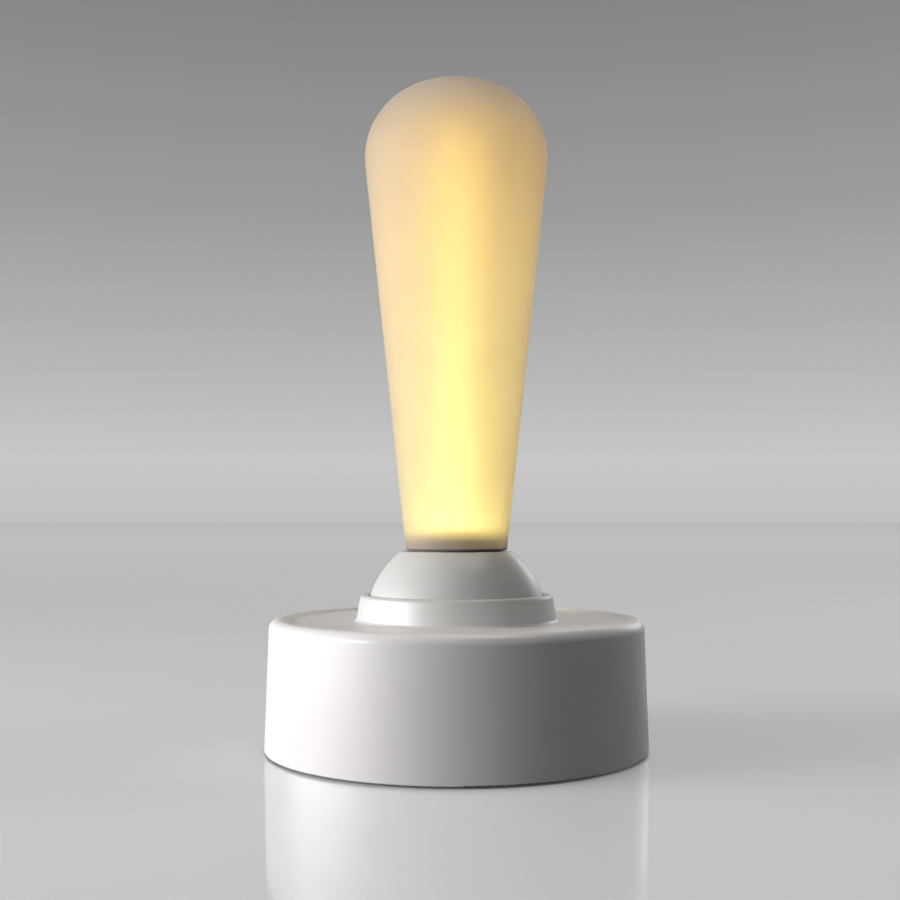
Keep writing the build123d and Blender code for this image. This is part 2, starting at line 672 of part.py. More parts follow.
# Core: flange under the crown, column with the axle's bore, pegs for the springs, and the tail
with BuildPart() as rocker_core:
    with BuildSketch(Plane.XY.offset(flange_z)):
        Circle(FLANGE_R)
        with lever_places:
            Circle(pilot_r, mode=Mode.SUBTRACT)
        with Locations(*lead_places):
            Circle(LEAD_R + LEAD_GAP, mode=Mode.SUBTRACT)
    extrude(amount=FLANGE_T)
    with BuildSketch(Plane.XZ.offset(-core_y)):
        with Locations((0, pivot_z)):
            Rectangle(COLUMN_L, flange_z - pivot_z, align=(Align.CENTER, Align.MIN))
            Circle(COLUMN_L / 2)
        with Locations((0, core_foot_z)):
            Rectangle(peg_l, pivot_z - core_foot_z, align=(Align.CENTER, Align.MIN))
    extrude(amount=core_w)
    with BuildSketch(Plane.XY.offset(core_foot_z)):
        Rectangle(peg_l, core_w + 2 * (spring_space - PEG_GAP))
    extrude(amount=PEG_H)
    with BuildSketch(Plane.XZ.offset(-TAIL_W / 2)):
        with Locations((0, tip_z)):
            Circle(TAIL_TIP_R)
            Rectangle(TAIL_T, core_foot_z - tip_z, align=(Align.CENTER, Align.MIN))
    extrude(amount=TAIL_W)
    with BuildSketch(Plane.XZ.offset(-core_y - CUT_OVERRUN)):
        with Locations((0, pivot_z)):
            Circle(AXLE_R + PRESS_GAP)
    extrude(amount=core_w + 2 * CUT_OVERRUN, mode=Mode.SUBTRACT)
rocker_core.part.label = "rocker_core"
export_step(rocker_core.part, "parts/rocker_core.step")

lever_screws = pan_screws(lever_places, flange_z, FLANGE_T + CROWN_T + LEVER_SCREW_BITE)
lever_screws.label = "lever_screws"
export_step(lever_screws, "parts/lever_screws.step")

# Axle: a steel pin, flush with the uprights
with BuildPart() as axle:
    with BuildSketch(Plane.XZ.offset(-axle_l / 2)):
        with Locations((0, pivot_z)):
            Circle(AXLE_R)
    extrude(amount=axle_l)
axle.part.label = "axle"
export_step(axle.part, "parts/axle.step")

return_spring_front = return_spring(-1)
return_spring_front.label = "return_spring_front"
export_step(return_spring_front, "parts/return_spring_front.step")

return_spring_rear = return_spring(1)
return_spring_rear.label = "return_spring_rear"
export_step(return_spring_rear, "parts/return_spring_rear.step")

# Plug at the sleeve's foot: widens upwards, so the sleeve stays on it
with BuildPart() as lamp_socket:
    socket_foot_r = shade_in_foot_r - STRETCH_GAP
    socket_top_r = shade_in_r(socket_top_z) - STRETCH_GAP
    with BuildSketch(Plane.XZ):
        with BuildLine():
            Polyline(
                (0, crown_z),
                (socket_foot_r, crown_z),
                (socket_foot_r, shade_foot_z),
                (socket_top_r, socket_top_z),
                (0, socket_top_z),
                close=True,
            )
        make_face()
    revolve(axis=Axis.Z)
    with BuildSketch(Plane.XY.offset(crown_z)):
        with lever_places:
            Circle(pilot_r)
    extrude(amount=LEVER_SCREW_BITE + PILOT_CLEAR, mode=Mode.SUBTRACT)
    with BuildSketch(Plane.XY.offset(crown_z)):
        with Locations(*lead_places):
            Circle(LEAD_R + LEAD_GAP)
    extrude(amount=SHADE_FOOT_GAP + SOCKET_H, mode=Mode.SUBTRACT)
lamp_socket.part.label = "lamp_socket"
export_step(lamp_socket.part, "parts/lamp_socket.step")

# LED board on the plug
led_board_r = shade_in_r(socket_top_z) - LED_BOARD_GAP
with BuildPart() as led_board:
    with BuildSketch(Plane.XY.offset(socket_top_z)):
        Circle(led_board_r)
    extrude(amount=LED_BOARD_T)
led_board.part.label = "led_board"
export_step(led_board.part, "parts/led_board.step")

# LEDs: one under the guide and a ring of them between the guide's flange and the board's edge
led_circle_r = (GUIDE_FLANGE_R + led_board_r) / 2
with BuildPart() as led_chips:
    with BuildSketch(Plane.XY.offset(led_board_top_z)):
        Rectangle(LED_W, LED_L)
        with PolarLocations(led_circle_r, LED_COUNT):
            Rectangle(LED_W, LED_L)
    extrude(amount=LED_H)
led_chips.part.label = "led_chips"
export_step(led_chips.part, "parts/led_chips.step")

# Light guide: a clear rod with a round tip, on a flange over the middle LED
with BuildPart() as light_guide:
    guide_top_z = led_board_top_z + GUIDE_L
    recess_r = hypot(LED_L, LED_W) / 2 + GUIDE_RECESS_GAP
    with BuildSketch(Plane.XZ) as guide_section:
        with BuildLine():
            Polyline(
                (0, led_board_top_z),
                (GUIDE_FLANGE_R, led_board_top_z),
                (GUIDE_FLANGE_R, led_board_top_z + GUIDE_FLANGE_T),
                (GUIDE_R, led_board_top_z + GUIDE_FLANGE_T),
                (GUIDE_R, guide_top_z - GUIDE_R),
            )
            CenterArc((0, guide_top_z - GUIDE_R), GUIDE_R, 0, 90)
            Line((0, guide_top_z), (0, led_board_top_z))
        make_face()
    revolve(axis=Axis.Z)
    with BuildSketch(Plane.XY.offset(led_board_top_z)):
        Circle(recess_r)
    extrude(amount=LED_H + GUIDE_RECESS_GAP, mode=Mode.SUBTRACT)
light_guide.part.label = "light_guide"
export_step(light_guide.part, "parts/light_guide.step")

# Silicone sleeve: a hollow club, open at its foot
with BuildPart() as silicone_shade:
    shoulder_angles = (shade_slope, (shade_slope + shoulder_end) / 2, shoulder_end)
    crown_angle = (shoulder_end + pi / 2) / 2
    with BuildSketch(Plane.XZ) as shade_section:
        with BuildLine():
            for inset, foot_r in ((0, SHADE_FOOT_R), (SHADE_WALL_T, shade_in_foot_r)):
                shoulder = [shoulder_point(inset, angle) for angle in shoulder_angles]
                Line((foot_r, shade_foot_z), shoulder[0])
                ThreePointArc(*shoulder)
                ThreePointArc(shoulder[-1], crown_point(inset, crown_angle), (0, shade_top_z - inset))
            Line((0, shade_top_z), (0, shade_top_z - SHADE_WALL_T))
            Line((shade_in_foot_r, shade_foot_z), (SHADE_FOOT_R, shade_foot_z))
        make_face()
        fillet(
            shade_section.vertices().sort_by_distance((SHADE_FOOT_R, shade_foot_z))[0], SHADE_FOOT_ROUND
        )
    revolve(axis=Axis.Z)
silicone_shade.part.label = "silicone_shade"
export_step(silicone_shade.part, "parts/silicone_shade.step")


def led_lead(side):
    """Lead from the LED board down through the ball to the main board, behind (1) or in front (-1)."""
    lead_y = side * led_lead_y
    knee_z = board_top_z + LED_LEAD_KNEE
    return lead_tube(
        (
            (led_lead_x, lead_y, socket_top_z),
            (led_lead_x, lead_y, pivot_z),
            (LED_LEAD_DROP_X, lead_y, knee_z),
            (LED_LEAD_DROP_X, lead_y, board_top_z),
        ),
        LED_LEAD_BEND_R,
    )


led_lead_red = led_lead(1)
led_lead_red.label = "led_lead_red"
export_step(led_lead_red, "parts/led_lead_red.step")

led_lead_black = led_lead(-1)
led_lead_black.label = "led_lead_black"
export_step(led_lead_black, "parts/led_lead_black.step")

# Tape under the battery
with BuildPart() as battery_tape:
    with BuildSketch(Plane.XY.offset(cover_top_z)):
        Rectangle(battery_l - 2 * TAPE_INSET, battery_w - 2 * TAPE_INSET)
    extrude(amount=TAPE_T)
battery_tape.part.label = "battery_tape"
export_step(battery_tape.part, "parts/battery_tape.step")

# Flat rechargeable cell
with BuildPart() as battery:
    with BuildSketch(Plane.XY.offset(battery_z)):
        RectangleRounded(battery_l, battery_w, BATTERY_ROUND)
    extrude(amount=BATTERY_T)
battery.part.label = "battery"
export_step(battery.part, "parts/battery.step")

# Header that the battery's leads plug into
connector_x = -BOARD_L / 2 + CONNECTOR_EDGE
lead_out_x = max(BOARD_L, battery_l) / 2 + BATTERY_LEAD_REACH
with BuildPart() as battery_connector:
    with BuildSketch(Plane.XY.offset(board_top_z)):
        with Locations((connector_x, 0)):
            Rectangle(CONNECTOR_L, CONNECTOR_W, align=(Align.MIN, Align.CENTER))
    extrude(amount=CONNECTOR_H)
battery_connector.part.label = "battery_connector"
export_step(battery_connector.part, "parts/battery_connector.step")


def battery_lead(side):
    """Lead from the end of the battery out round the board's edge and back to the header."""
    lead_y = side * LEAD_SPACING / 2
    low_z = battery_z + BATTERY_T / 2
    high_z = board_top_z + CONNECTOR_H / 2
    return lead_tube(
        (
            (-battery_l / 2, lead_y, low_z),
            (-lead_out_x, lead_y, low_z),
            (-lead_out_x, lead_y, high_z),
            (connector_x, lead_y, high_z),
        ),
        LEAD_BEND_R,
    )


battery_lead_red = battery_lead(1)
battery_lead_red.label = "battery_lead_red"
export_step(battery_lead_red, "parts/battery_lead_red.step")

battery_lead_black = battery_lead(-1)
battery_lead_black.label = "battery_lead_black"
export_step(battery_lead_black, "parts/battery_lead_black.step")

# Steel ring on the cover, round the battery, notched for the battery's leads and the cover posts
with BuildPart() as ballast_ring:
    with BuildSketch(Plane.XY.offset(cover_top_z)):
        Circle(inner_min_r - BALLAST_GAP)
        Rectangle(battery_l + 2 * BATTERY_CLEAR, battery_w + 2 * BATTERY_CLEAR, mode=Mode.SUBTRACT)
        Rectangle(
            lead_out_x + LEAD_R + BATTERY_CLEAR,
            LEAD_SPACING + 2 * (LEAD_R + BATTERY_CLEAR),
            align=(Align.MAX, Align.CENTER),
            mode=Mode.SUBTRACT,
        )
        with cover_places:
            Circle(COVER_POST_R + BALLAST_POST_GAP, mode=Mode.SUBTRACT)
            Rectangle(
                COVER_POST_INSET,
                COVER_RIB_T + 2 * BALLAST_POST_GAP,
                align=(Align.MIN, Align.CENTER),
                mode=Mode.SUBTRACT,
            )
    extrude(amount=BALLAST_H)
ballast_ring.part.label = "ballast_ring"
export_step(ballast_ring.part, "parts/ballast_ring.step")

# Bottom cover: a disc with a groove for the foot, and countersunk holes in the groove
groove_z = FOOT_RING_T
foot_ring_out_r = cover_post_circle_r + FOOT_RING_W / 2
foot_ring_in_r = cover_post_circle_r - FOOT_RING_W / 2
with BuildPart(Plane.XY.offset(groove_z)) as bottom_cover:
    with BuildSketch(Plane.XY.offset(FOOT_PROUD)):
        Circle(seat_r - SLIP_GAP)
    extrude(amount=COVER_T)
    with BuildSketch(Plane.XY.offset(FOOT_PROUD)):
        Circle(foot_ring_out_r + SLIP_GAP)
        Circle(foot_ring_in_r - SLIP_GAP, mode=Mode.SUBTRACT)
    extrude(amount=groove_z - FOOT_PROUD, mode=Mode.SUBTRACT)
    with cover_places:
        Cone(SCREW_HEAD_R + RUN_GAP, pilot_r, COVER_SCREW_HEAD_H, align=STANDING, mode=Mode.SUBTRACT)
        Cylinder(pilot_r, COVER_T, align=STANDING, mode=Mode.SUBTRACT)
bottom_cover.part.label = "bottom_cover"
export_step(bottom_cover.part, "parts/bottom_cover.step")

# Countersunk cover screws, flush with the groove's floor
with BuildPart(Plane.XY.offset(groove_z)) as cover_screws:
    with cover_places:
        Cone(SCREW_HEAD_R, SCREW_R, COVER_SCREW_HEAD_H, align=STANDING)
        Cylinder(SCREW_R, cover_top_z - groove_z + COVER_SCREW_BITE, align=STANDING)
    with BuildSketch(Plane.XY.offset(groove_z)):
        with cover_places:
            Rectangle(2 * SCREW_R, SCREW_SLOT_W)
            Rectangle(SCREW_SLOT_W, 2 * SCREW_R)
    extrude(amount=SCREW_SLOT_DEPTH, mode=Mode.SUBTRACT)
cover_screws.part.label = "cover_screws"
export_step(cover_screws.part, "parts/cover_screws.step")

# Rubber foot in the cover's groove, over the screws
with BuildPart() as foot_ring:
    with BuildSketch():
        Circle(foot_ring_out_r)
        Circle(foot_ring_in_r, mode=Mode.SUBTRACT)
    extrude(amount=FOOT_RING_T)
foot_ring.part.label = "foot_ring"
export_step(foot_ring.part, "parts/foot_ring.step")

print("pivot height", round(pivot_z, 3))
print("lever arm of the tail", round(tail_r, 3))
print("gap between the turns of a return spring", round(SPRING_PITCH - 2 * SPRING_WIRE_R, 3))
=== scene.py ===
import json
import math
from collections import namedtuple

import bmesh
import bpy
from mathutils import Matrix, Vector


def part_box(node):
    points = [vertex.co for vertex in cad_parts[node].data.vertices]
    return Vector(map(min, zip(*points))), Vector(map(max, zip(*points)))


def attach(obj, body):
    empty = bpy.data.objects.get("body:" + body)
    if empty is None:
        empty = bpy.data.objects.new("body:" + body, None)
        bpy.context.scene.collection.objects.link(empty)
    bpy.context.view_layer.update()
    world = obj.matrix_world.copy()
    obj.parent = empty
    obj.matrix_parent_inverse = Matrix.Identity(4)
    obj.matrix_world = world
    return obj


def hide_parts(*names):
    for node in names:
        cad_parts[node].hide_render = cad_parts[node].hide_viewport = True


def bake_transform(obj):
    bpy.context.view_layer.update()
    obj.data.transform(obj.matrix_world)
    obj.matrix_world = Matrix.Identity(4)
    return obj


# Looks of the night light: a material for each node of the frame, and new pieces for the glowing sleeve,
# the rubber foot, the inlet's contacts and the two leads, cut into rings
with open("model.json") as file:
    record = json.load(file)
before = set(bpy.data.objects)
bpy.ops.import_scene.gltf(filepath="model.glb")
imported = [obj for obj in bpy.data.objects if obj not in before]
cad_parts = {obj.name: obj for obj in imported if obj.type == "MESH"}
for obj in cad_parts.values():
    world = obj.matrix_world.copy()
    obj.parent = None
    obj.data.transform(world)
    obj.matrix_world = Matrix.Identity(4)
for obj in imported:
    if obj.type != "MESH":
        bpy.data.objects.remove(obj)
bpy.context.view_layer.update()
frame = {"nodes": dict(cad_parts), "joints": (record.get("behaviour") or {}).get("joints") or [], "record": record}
nodes = frame["nodes"]

MM = 0.001

# Camera, at the photograph's viewing angle: in front, a little above the ball, tilted up
CAMERA_DISTANCE = 238.8 * MM
CAMERA_HEIGHT = 44.5 * MM
CAMERA_SIDE = -1.28 * MM
CAMERA_TILT = math.radians(3.40)
CAMERA_LENS = 47.8
SENSOR_WIDTH = 36.0
CLIP_START = 10 * MM
CLIP_END = 200.0

# Stage: half the floor's width in metres, its own faint light, and the studio's greys, each at the sine of
# its height above the horizon
FLOOR_HALF = 80.0
FLOOR_GLOW = 0.04
HORIZON_STOPS = (
    (0.0, 0.535),
    (0.05, 0.572),
    (0.13, 0.465),
    (0.25, 0.335),
    (0.40, 0.237),
    (1.0, 0.14),
)

# Lamps: soft boxes, sized, placed and aimed in metres. A box's middle is a share of its width from one side.
# The core, up to which the light is full, and the edge, where it ends, are shares of it from the middle
HALF_ROUND = math.pi
LAMP_MIDDLE_SHARE = 0.5
LAMP_CORE_SHARE = 0.08
LAMP_EDGE_SHARE = 0.5
Lamp = namedtuple("Lamp", "name watts size place aim beam", defaults=(HALF_ROUND,))
KEY = Lamp("key_left", 17.8, size=(0.95, 0.24), place=(-0.60, -0.12, 0.13), aim=(0, 0, 0.06))
TOP = Lamp("top_soft", 6.4, size=(0.70, 0.70), place=(0.15, 0.05, 0.85), aim=(0, 0, 0.03))
FILL = Lamp("right_fill", 1.7, size=(0.80, 0.50), place=(0.45, -0.70, 0.30), aim=(0, 0, 0.05))
BACK = Lamp("back_panel", 1.7, size=(1.40, 0.90), place=(0.15, 0.95, 0.60), aim=(0, 0, 0.05))
RIM = Lamp("right_rim", 2.5, size=(0.70, 0.50), place=(0.50, 0.75, 0.30), aim=(0, 0, 0.05))
FLOOR_KEY = KEY._replace(name="floor_key", watts=4.5, beam=math.radians(80))
WASH = Lamp("floor_wash", 2.8, size=(0.90, 0.90), place=(0.26, -0.22, 0.70), aim=(0.26, -0.22, 0))
SIDE = Lamp("floor_side", 4.5, size=(0.40, 0.30), place=(0.70, 0.12, 0.22), aim=(0, 0, 0))

# Sleeve, as in the solids
SLEEVE_FOOT_R = 10.1 * MM
SLEEVE_WALL = 2.2 * MM
SLEEVE_LIP_ROUND = 0.4 * MM
SLEEVE_SHOULDER_ROUND = 14.9 * MM
SLEEVE_CROWN_ROUND = 28.0 * MM
SLEEVE_LIP_STEPS = 4
SLEEVE_SIDE_STEPS = 40
SLEEVE_SHOULDER_STEPS = 24
SLEEVE_CROWN_STEPS = 10
ROUND_STEPS = 128

# Rubber foot
FOOT_BEVEL = 0.25 * MM
FOOT_GROOVE_COUNT = 3
FOOT_GROOVE_W = 0.5 * MM
FOOT_GROOVE_DEPTH = 0.2 * MM
FOOT_CREASE = math.radians(30)

# Leads to the LED board: left whole through the frame's opening, and cut into rings above it
LEAD_STILL_L = 6.0 * MM
LEAD_RING_COUNT = 24

# Contacts on the inlet's tongue, whose tip is thinner than the block at its root
TONGUE_TIP_L = 1.0 * MM
CONTACT_COUNT = 12
CONTACT_PITCH = 0.5 * MM
CONTACT_W = 0.25 * MM
CONTACT_L = 3.4 * MM
CONTACT_T = 0.04 * MM
CONTACT_SETBACK = 0.25 * MM

# Noise, and the middle of its range, where most of it lies
NOISE_DETAIL = 3.0
NOISE_LOW = 0.3
NOISE_HIGH = 0.7
GLOSS_MOTTLE_RATIO = 3

# Surfaces: two colours and two roughnesses to vary between, the size of the patches, the size and depth of
# the fine relief, and how far both are drawn out along each axis
EVEN = (1, 1, 1)
ALONG_Y = (1, 12, 1)
ALONG_Z = (1, 1, 12)
BLACK = ((0.022, 0.022, 0.024), (0.035, 0.035, 0.037))
Surface = namedtuple(
    "Surface",
    "colours roughness mottle grain relief stretch",
    defaults=(20 * MM, 0.6 * MM, 0.002 * MM, EVEN),
)
FLOOR = Surface(
    colours=((0.72, 0.72, 0.72), (0.74, 0.74, 0.74)),
    roughness=(0.05, 0.07),
    mottle=60 * MM,
    grain=60 * MM,
    relief=0,
)
SILICONE = Surface(
    colours=((0.46, 0.42, 0.38), (0.49, 0.45, 0.41)),
    roughness=(0.80, 0.86),
    mottle=12 * MM,
    grain=0.35 * MM,
    relief=0.004 * MM,
)
CLEAR_ACRYLIC = Surface(
    colours=((0.93, 0.92, 0.88), (0.96, 0.95, 0.91)),
    roughness=(0.05, 0.10),
    grain=2 * MM,
)
LED_PHOSPHOR = Surface(
    colours=((0.90, 0.72, 0.20), (0.95, 0.80, 0.28)),
    roughness=(0.35, 0.45),
    mottle=2 * MM,
    grain=0.2 * MM,
)
WHITE_GLOSS = Surface(
    colours=((0.80, 0.772, 0.768), (0.83, 0.802, 0.798)),
    roughness=(0.34, 0.40),
    grain=5 * MM,
    relief=0.003 * MM,
)
# Ball and collar: the base's white plastic painted greyer, as painted shade for the less light they get
SHADED_BALL_GLOSS = WHITE_GLOSS._replace(colours=((0.624, 0.614, 0.605), (0.654, 0.644, 0.635)))
STEEL = Surface(
    colours=((0.55, 0.55, 0.56), (0.64, 0.64, 0.65)),
    roughness=(0.25, 0.38),
    mottle=2 * MM,
    grain=0.12 * MM,
    relief=0.001 * MM,
    stretch=ALONG_Z,
)
METALS = {
    "steel": STEEL,
    "inlet_steel": STEEL._replace(roughness=(0.22, 0.32), stretch=ALONG_Y),
    "contact_gold": STEEL._replace(
        colours=((0.83, 0.62, 0.25), (0.90, 0.70, 0.32)),
        roughness=(0.20, 0.30),
        stretch=ALONG_Y,
    ),
    "cell_foil": STEEL._replace(
        colours=((0.62, 0.63, 0.65), (0.72, 0.73, 0.75)),
        roughness=(0.28, 0.42),
        stretch=EVEN,
    ),
}
PLAIN_SURFACES = {
    # Sleeve's lip: silicone painted dark, a painted shadow for the gap between the sleeve's foot and the ball
    "silicone_lip_shadow": SILICONE._replace(colours=((0.16, 0.15, 0.14), (0.18, 0.17, 0.16))),
    "white_socket": Surface(
        colours=((0.66, 0.64, 0.61), (0.70, 0.68, 0.65)),
        roughness=(0.40, 0.50),
    ),
    "board_white": Surface(
        colours=((0.80, 0.80, 0.78), (0.85, 0.85, 0.83)),
        roughness=(0.30, 0.38),
        mottle=4 * MM,
    ),
    "white_matte": Surface(
        colours=((0.76, 0.755, 0.75), (0.80, 0.795, 0.79)),
        roughness=(0.50, 0.60),
        grain=0.3 * MM,
        relief=0.012 * MM,
    ),
    "inner_plastic": Surface(
        colours=((0.72, 0.72, 0.71), (0.76, 0.76, 0.75)),
        roughness=(0.40, 0.50),
        grain=0.4 * MM,
        relief=0.008 * MM,
    ),
    "chip_black": Surface(
        colours=BLACK,
        roughness=(0.35, 0.50),
        mottle=3 * MM,
        grain=0.15 * MM,
        relief=0.01 * MM,
    ),
    "tape_black": Surface(
        colours=BLACK,
        roughness=(0.65, 0.80),
        mottle=2 * MM,
        grain=0.25 * MM,
        relief=0.03 * MM,
    ),
    "capacitor_tan": Surface(
        colours=((0.42, 0.29, 0.17), (0.50, 0.36, 0.22)),
        roughness=(0.35, 0.45),
        mottle=1 * MM,
    ),
    "lead_red": Surface(
        colours=((0.48, 0.03, 0.025), (0.56, 0.045, 0.035)),
        roughness=(0.35, 0.45),
        mottle=4 * MM,
    ),
    "lead_black": Surface(
        colours=((0.02, 0.02, 0.021), (0.03, 0.03, 0.031)),
        roughness=(0.35, 0.45),
        mottle=4 * MM,
    ),
    "foot_rubber": Surface(
        colours=((0.035, 0.035, 0.036), (0.055, 0.055, 0.056)),
        roughness=(0.70, 0.85),
        mottle=8 * MM,
        grain=0.2 * MM,
        relief=0.02 * MM,
    ),
}

# Optics
PLASTIC_IOR = 1.5
ACRYLIC_IOR = 1.49
ACRYLIC_TRANSMISSION = 0.6
SILICONE_IOR = 1.41
SILICONE_TRANSMISSION = 0.65
SILICONE_SPECULAR = 0.35
COAT_WEIGHT = 0.15
COAT_ROUGHNESS = 0.20

# Light that the pieces give off, from the foot of the sleeve and of the rod to their tops
SLEEVE_GLOW_STOPS = (
    (0.0, (0.042, 0.034, 0.03)),
    (0.020, (0.055, 0.041, 0.03)),
    (0.036, (0.42, 0.33, 0.09)),
    (0.055, (0.46, 0.38, 0.12)),
    (0.15, (0.38, 0.31, 0.11)),
    (0.40, (0.34, 0.265, 0.11)),
    (0.65, (0.32, 0.235, 0.095)),
    (0.85, (0.235, 0.166, 0.072)),
    (1.0, (0.072, 0.066, 0.074)),
)
SLEEVE_OUTER_GLOW = 0.35
SLEEVE_INNER_GLOW = 2.35
ROD_GLOW_STOPS = (
    (0.0, (0.95, 0.90, 0.36)),
    (0.3, (0.85, 0.80, 0.24)),
    (0.7, (0.85, 0.70, 0.15)),
    (1.0, (1.00, 0.70, 0.12)),
)
ROD_GLOW = 3.0
LED_GLOW_COLOURS = ((1.0, 0.80, 0.35), (1.0, 0.88, 0.45))
LED_GLOW_GRAIN = 1.5 * MM
LED_GLOW = 6.0
WHITE = (1, 1, 1)

# Circuit board: fields with tracks between them
BOARD_FIELD_COLOURS = ((0.03, 0.19, 0.08), (0.035, 0.22, 0.095))
BOARD_TRACK_COLOUR = (0.06, 0.30, 0.13)
BOARD_FIELD = 6 * MM
BOARD_TRACK_SHARE = 0.05
BOARD_ROUGHNESS = (0.25, 0.35)
BOARD_MOTTLE = 3 * MM
BOARD_RELIEF = 0.02 * MM


def rgba(colour):
    """An opaque colour."""
    return (*colour, 1)


def set_inputs(node, values):
    """Sets a node's inputs by name."""
    for name, value in values.items():
        node.inputs[name].default_value = value


def coordinates(tree):
    """The piece's own coordinates, in metres, which move with it."""
    return tree.nodes.new("ShaderNodeTexCoord").outputs["Object"]


def split_axes(tree, vector):
    """A vector's X, Y and Z as outputs of one node."""
    node = tree.nodes.new("ShaderNodeSeparateXYZ")
    tree.links.new(vector, node.inputs["Vector"])
    return node.outputs


def calculate(tree, operation, *terms):
    """The result of a sum whose terms are numbers or outputs of other nodes."""
    node = tree.nodes.new("ShaderNodeMath")
    node.operation = operation
    for term, socket in zip(terms, node.inputs):
        if isinstance(term, bpy.types.NodeSocket):
            tree.links.new(term, socket)
        else:
            socket.default_value = term
    return node.outputs["Value"]


def remap(tree, value, start, end, low=0, high=1, easing="LINEAR"):
    """A value between start and end, stretched over low to high and held at both ends."""
    node = tree.nodes.new("ShaderNodeMapRange")
    node.interpolation_type = easing
    set_inputs(node, {"From Min": start, "From Max": end, "To Min": low, "To Max": high})
    tree.links.new(value, node.inputs["Value"])
    return node.outputs["Result"]


def ramp(tree, value, stops):
    """Colours along a value: stops are (position, colour)."""
    node = tree.nodes.new("ShaderNodeValToRGB")
    elements = node.color_ramp.elements
    while len(elements) < len(stops):
        elements.new(1)
    for element, (position, colour) in zip(elements, stops):
        element.position = position
        element.color = rgba(colour)
    tree.links.new(value, node.inputs["Fac"])
    return node.outputs["Color"]


def noise(tree, size, stretch=EVEN):
    """Noise with features of a size in metres, drawn out along the axes."""
    mapping = tree.nodes.new("ShaderNodeMapping")
    mapping.inputs["Scale"].default_value = [1 / (size * times) for times in stretch]
    tree.links.new(coordinates(tree), mapping.inputs["Vector"])
    node = tree.nodes.new("ShaderNodeTexNoise")
    set_inputs(node, {"Scale": 1, "Detail": NOISE_DETAIL})
    tree.links.new(mapping.outputs["Vector"], node.inputs["Vector"])
    return node.outputs["Fac"]


def bump(tree, shader, height, depth):
    """Relief of a depth in metres on the shader's normal."""
    node = tree.nodes.new("ShaderNodeBump")
    node.inputs["Distance"].default_value = depth
    tree.links.new(height, node.inputs["Height"])
    tree.links.new(node.outputs["Normal"], shader.inputs["Normal"])


def new_material(name):
    """A node material with its tree and its main shader."""
    material = bpy.data.materials.new(name)
    material.use_nodes = True
    tree = material.node_tree
    return material, tree, tree.nodes["Principled BSDF"]


def mottled(name, surface):
    """A material whose colour and gloss vary a little, with a fine relief."""
    material, tree, shader = new_material(name)
    patches = noise(tree, surface.mottle, surface.stretch)
    tint = remap(tree, patches, NOISE_LOW, NOISE_HIGH)
    tree.links.new(ramp(tree, tint, list(enumerate(surface.colours))), shader.inputs["Base Color"])
    finer = noise(tree, surface.mottle / GLOSS_MOTTLE_RATIO, surface.stretch)
    gloss = remap(tree, finer, NOISE_LOW, NOISE_HIGH, *surface.roughness)
    tree.links.new(gloss, shader.inputs["Roughness"])
    bump(tree, shader, noise(tree, surface.grain, surface.stretch), surface.relief)
    return material, tree, shader


def plain(name, surface):
    """A mottled material with nothing added."""
    return mottled(name, surface)[0]


def metal(name, surface):
    """Bare metal, drawn along the way that its surface is stretched."""
    material, _, shader = mottled(name, surface)
    shader.inputs["Metallic"].default_value = 1
    return material


def gloss_plastic(name, surface):
    """Polished moulding: soft body, thin clear gloss."""
    material, _, shader = mottled(name, surface)
    set_inputs(shader, {"IOR": PLASTIC_IOR, "Coat Weight": COAT_WEIGHT, "Coat Roughness": COAT_ROUGHNESS})
    return material


def glow(tree, shader, colour, strength):
    """Makes a surface give off light."""
    tree.links.new(colour, shader.inputs["Emission Color"])
    shader.inputs["Emission Strength"].default_value = strength


def colours_up(tree, node, stops):
    """Colours from the foot of a node to its top."""
    low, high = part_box(node)
    height_share = remap(tree, split_axes(tree, coordinates(tree))["Z"], low.z, high.z)
    return ramp(tree, height_share, stops)


def silicone(name, strength):
    """Frosted silicone, lit from inside: brightest above the plug, fading to the crown."""
    material, tree, shader = mottled(name, SILICONE)
    glow(tree, shader, colours_up(tree, "silicone_shade", SLEEVE_GLOW_STOPS), strength)
    set_inputs(shader, {"Transmission Weight": SILICONE_TRANSMISSION, "IOR": SILICONE_IOR})
    shader.inputs["Specular IOR Level"].default_value = SILICONE_SPECULAR
    return material


def clear_rod():
    """Clear acrylic rod that glows as it carries the light up."""
    material, tree, shader = mottled("clear_acrylic", CLEAR_ACRYLIC)
    glow(tree, shader, colours_up(tree, "light_guide", ROD_GLOW_STOPS), ROD_GLOW)
    set_inputs(shader, {"Transmission Weight": ACRYLIC_TRANSMISSION, "IOR": ACRYLIC_IOR})
    return material


def led_phosphor():
    """Yellow phosphor of the lit LEDs."""
    material, tree, shader = mottled("led_phosphor", LED_PHOSPHOR)
    colour = ramp(tree, noise(tree, LED_GLOW_GRAIN), list(enumerate(LED_GLOW_COLOURS)))
    glow(tree, shader, colour, LED_GLOW)
    return material


def circuit_board():
    """Green board with paler tracks under its varnish."""
    material, tree, shader = new_material("board_green")
    fields = tree.nodes.new("ShaderNodeTexBrick")
    set_inputs(fields, {"Scale": 1 / BOARD_FIELD, "Mortar Size": BOARD_TRACK_SHARE})
    colours = (*BOARD_FIELD_COLOURS, BOARD_TRACK_COLOUR)
    for socket, colour in zip(("Color1", "Color2", "Mortar"), colours):
        fields.inputs[socket].default_value = rgba(colour)
    tree.links.new(coordinates(tree), fields.inputs["Vector"])
    tree.links.new(fields.outputs["Color"], shader.inputs["Base Color"])
    gloss = remap(tree, noise(tree, BOARD_MOTTLE), NOISE_LOW, NOISE_HIGH, *BOARD_ROUGHNESS)
    tree.links.new(gloss, shader.inputs["Roughness"])
    bump(tree, shader, fields.outputs["Fac"], BOARD_RELIEF)
    return material


